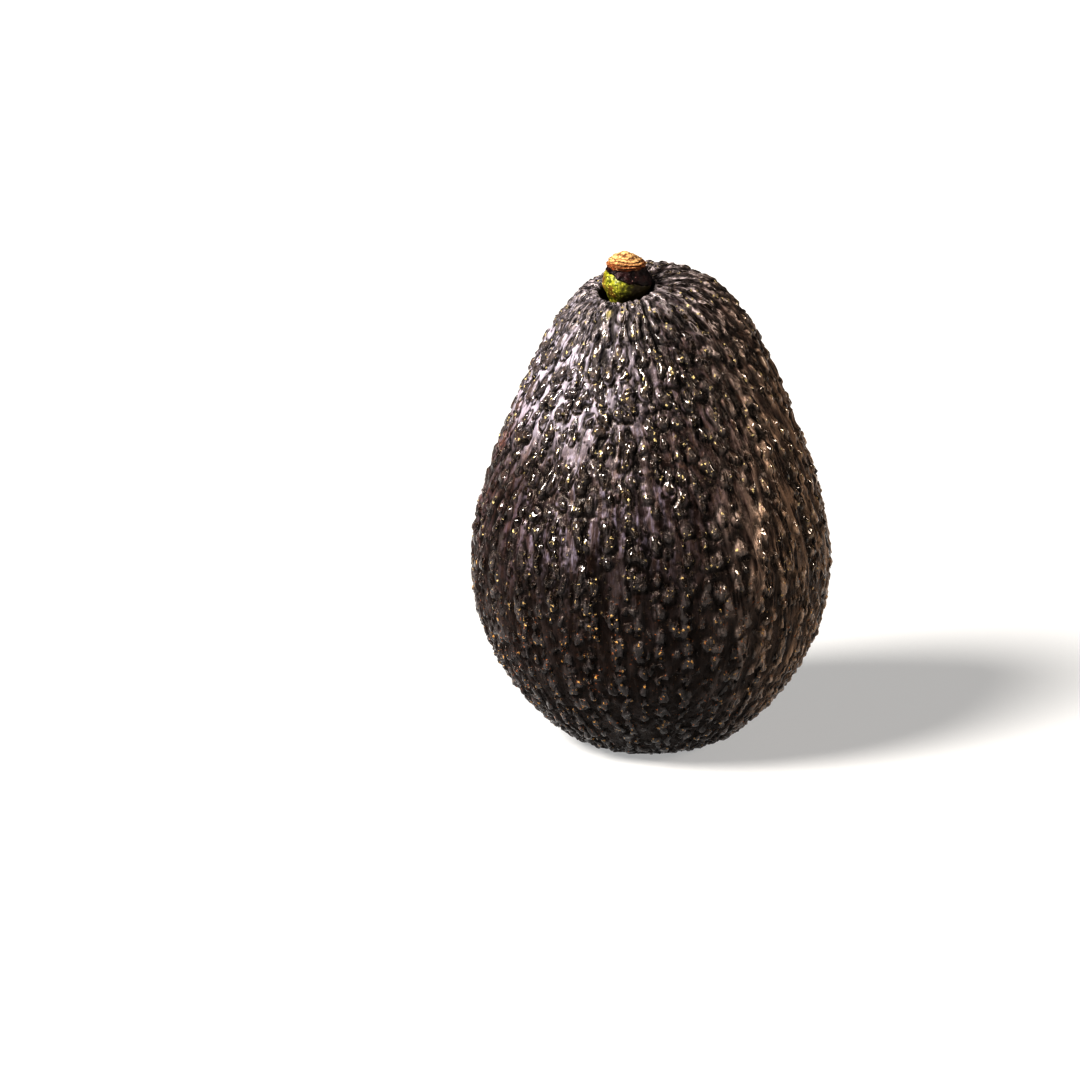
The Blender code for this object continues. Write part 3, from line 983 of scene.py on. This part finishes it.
corkColours = {
    "cork": ((0.19, 0.066, 0.022), (0.46, 0.335, 0.185)),
    "ring": (0.10, 0.034, 0.012),
    "darkCrumb": (0.12, 0.042, 0.016),
    "paleCrumb": (0.56, 0.45, 0.28),
    "darkSpeck": (0.06, 0.020, 0.012),
    "band": ((0.010, 0.004, 0.005), (0.045, 0.016, 0.016)),
    "paleSpeck": (0.34, 0.22, 0.20),
}


def corkMaterial():
    # a dark band below, and the tan, ringed cork above it
    material, tree, shader, place = newMaterial("dryCork")
    patches = noiseMap(tree, place, 700.0, 4.0)
    crumbs = noiseMap(tree, place, 2300.0, 4.0, 0.5)
    darkSpecks = useGroup(tree, specks, place, Scale=1900.0, Size=0.35, Kept=0.4)
    paleSpecks = useGroup(tree, specks, place, Scale=1500.0, Size=0.3, Kept=0.18)
    height = total(tree, attribute(tree, "height"), ramp(tree, patches, -0.2, 0.2, 0.3, 0.7))
    ringMarks = maths(tree, "SINE", product(tree, height, 2.0 * math.pi / stub["ringSpacing"]))
    cork = mixColour(tree, ramp(tree, height, 0.0, 1.0, 9.2, 10.8), *corkColours["cork"])
    layers = (
        (ramp(tree, ringMarks, 0.75, 0.0, -0.9, 0.1), corkColours["ring"]),
        (ramp(tree, crumbs, 0.6, 0.0, 0.34, 0.48), corkColours["darkCrumb"]),
        (ramp(tree, crumbs, 0.0, 0.7, 0.54, 0.70), corkColours["paleCrumb"]),
        (product(tree, darkSpecks, 0.5), corkColours["darkSpeck"]),
    )
    cork = layered(tree, cork, layers)
    band = mixColour(tree, ramp(tree, patches, 0.0, 1.0, 0.4, 0.7), *corkColours["band"])
    # pale pink specks on the dark band: painted highlights
    band = mixColour(tree, product(tree, paleSpecks, 0.6), band, corkColours["paleSpeck"])
    colour = mixColour(tree, ramp(tree, height, 0.0, 1.0, 8.85, 9.2), band, cork)
    tree.links.new(colour, shader.inputs["Base Color"])
    tree.links.new(ramp(tree, height, 0.40, 0.85, 8.7, 9.4), shader.inputs["Roughness"])
    shader.inputs["Specular IOR Level"].default_value = 0.25
    addBump(tree, shader, useGroup(tree, grain, place, Scale=3000.0), 0.9, 0.35)
    return material


def dress(piece, node, material):
    piece.data.materials.clear()
    piece.data.materials.append(material)
    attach(piece, "root")
    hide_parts(node)
    print("piece:", piece.name, len(piece.data.polygons), "faces")


dress(fruitPiece(), "fruit", skinMaterial())
dress(basePiece(), "stem_base", footMaterial())
dress(capPiece(), "stem_cap", corkMaterial())

# The floor, the light and the camera.
studio = {
    "target": Vector((-0.0225, 0.0, 0.0418)),
    "distance": 0.6084,
    "elevation": math.radians(14.0),
    "lens": 100.0,
    "sensor": 36.0,
    "clipStart": 0.01,
    "floorSize": 30.0,
    "floorShade": 0.22,
    "floorGlow": 0.29,
    "worldStrength": 0.05,
    "key": {"from": (-0.80, -0.50, 0.80), "angle": 22.0, "strength": 5.8, "colour": (1.0, 0.97, 0.93)},
    "fill": {"from": (1.0, -0.15, 0.45), "angle": 15.0, "strength": 1.15, "colour": (1.0, 0.89, 0.79)},
    "exposure": 0.95,
    "gamma": 0.56,
}


def addLight(name, setting):
    # a sun with a wide angle is a large soft light far away, which lights the floor evenly
    bpy.ops.object.light_add(type="SUN", location=setting["from"])
    lamp = bpy.context.object
    lamp.name = name
    lamp.data.angle = math.radians(setting["angle"])
    lamp.data.energy = setting["strength"]
    lamp.data.color = setting["colour"]
    lamp.rotation_euler = (-Vector(setting["from"])).to_track_quat("-Z", "Y").to_euler()


bpy.ops.object.select_all(action="DESELECT")
bpy.ops.mesh.primitive_plane_add(size=studio["floorSize"], location=(0.0, 0.0, 0.0))
floor = bpy.context.object
floor.name = "floor"
floorMaterial, _, floorShader, _ = newMaterial("floorPaper")
floorShader.inputs["Base Color"].default_value = (*[studio["floorShade"]] * 3, 1.0)
floorShader.inputs["Roughness"].default_value = 0.9
floorShader.inputs["Specular IOR Level"].default_value = 0.1
floorShader.inputs["Emission Color"].default_value = (1.0, 1.0, 1.0, 1.0)
floorShader.inputs["Emission Strength"].default_value = studio["floorGlow"]
floor.data.materials.append(floorMaterial)

scene = bpy.context.scene
world = bpy.data.worlds.new("studio")
scene.world = world
world.use_nodes = True
background = world.node_tree.nodes["Background"]
background.inputs["Color"].default_value = (1.0, 1.0, 1.0, 1.0)
background.inputs["Strength"].default_value = studio["worldStrength"]
for lightName in ("key", "fill"):
    addLight(lightName, studio[lightName])

elevation = studio["elevation"]
towardsCamera = Vector((0.0, -math.cos(elevation), math.sin(elevation)))
bpy.ops.object.camera_add(location=studio["target"] + towardsCamera * studio["distance"])
camera = bpy.context.object
camera.rotation_euler = (-towardsCamera).to_track_quat("-Z", "Y").to_euler()
camera.data.lens = studio["lens"]
camera.data.sensor_width = studio["sensor"]
camera.data.clip_start = studio["clipStart"]
scene.camera = camera
scene.view_settings.view_transform = "Standard"
scene.view_settings.exposure = studio["exposure"]
scene.view_settings.gamma = studio["gamma"]
